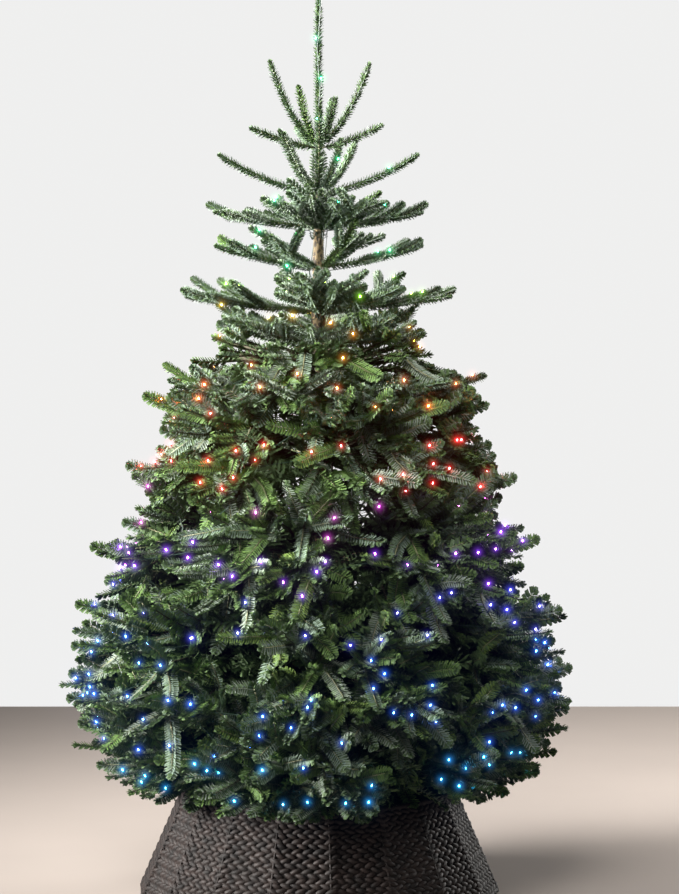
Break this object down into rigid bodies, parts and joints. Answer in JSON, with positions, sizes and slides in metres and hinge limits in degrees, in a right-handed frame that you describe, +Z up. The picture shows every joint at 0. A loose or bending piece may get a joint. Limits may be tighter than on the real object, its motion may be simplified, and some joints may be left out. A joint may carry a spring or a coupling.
{
  "type": "christmas tree",
  "caption": "Tall fir Christmas tree with open whorls at its top and a dense lower crown, standing in a low woven basket.",
  "frame": {"origin": "on the floor at the middle of the flat underside, under the trunk's axis", "axes": "+Z up along the trunk, +X to the right seen from the front, and the front faces -Y"},
  "size_m": [1.2874, 1.2883, 2.286],
  "materials": {
    "bark": "rough bark",
    "needles": "matte needles",
    "basket": "plaited, stained dark",
    "steel": "satin black"
  },
  "bodies": {
    "root": {"basket_floor": "basket", "basket_wall": "basket", "crown_tip": "needles", "holder": "steel", "tier_10_bough_1": "bark", "tier_10_bough_2": "bark", "tier_10_bough_3": "bark", "tier_10_bough_4": "bark", "tier_10_bough_5": "bark", "tier_10_foliage_1": "needles", "tier_10_foliage_2": "needles", "tier_10_foliage_3": "needles", "tier_10_foliage_4": "needles", "tier_10_foliage_5": "needles", "tier_6_foliage_1": "needles", "tier_6_foliage_2": "needles", "tier_6_foliage_3": "needles", "tier_6_foliage_4": "needles", "tier_7_foliage_1": "needles", "tier_7_foliage_2": "needles", "tier_7_foliage_3": "needles", "tier_7_foliage_4": "needles", "tier_7_foliage_5": "needles", "tier_8_bough_1": "bark", "tier_8_bough_2": "bark", "tier_8_bough_3": "bark", "tier_8_bough_4": "bark", "tier_8_bough_5": "bark", "tier_8_foliage_1": "needles", "tier_8_foliage_2": "needles", "tier_8_foliage_3": "needles", "tier_8_foliage_4": "needles", "tier_8_foliage_5": "needles", "tier_9_bough_1": "bark", "tier_9_bough_2": "bark", "tier_9_bough_3": "bark", "tier_9_bough_4": "bark", "tier_9_bough_5": "bark", "tier_9_foliage_1": "needles", "tier_9_foliage_2": "needles", "tier_9_foliage_3": "needles", "tier_9_foliage_4": "needles", "tier_9_foliage_5": "needles", "trunk": "bark", "whorl_2_shoot_1": "needles", "whorl_2_shoot_2": "needles", "whorl_2_shoot_3": "needles", "whorl_2_shoot_4": "needles", "whorl_3_shoot_1": "needles", "whorl_3_shoot_2": "needles", "whorl_3_shoot_3": "needles", "whorl_3_shoot_4": "needles", "whorl_4_shoot_1": "needles", "whorl_4_shoot_2": "needles", "whorl_4_shoot_3": "needles", "whorl_4_shoot_4": "needles", "whorl_5_shoot_1": "needles", "whorl_5_shoot_2": "needles", "whorl_5_shoot_3": "needles", "whorl_5_shoot_4": "needles"}
  },
  "joints": []
}
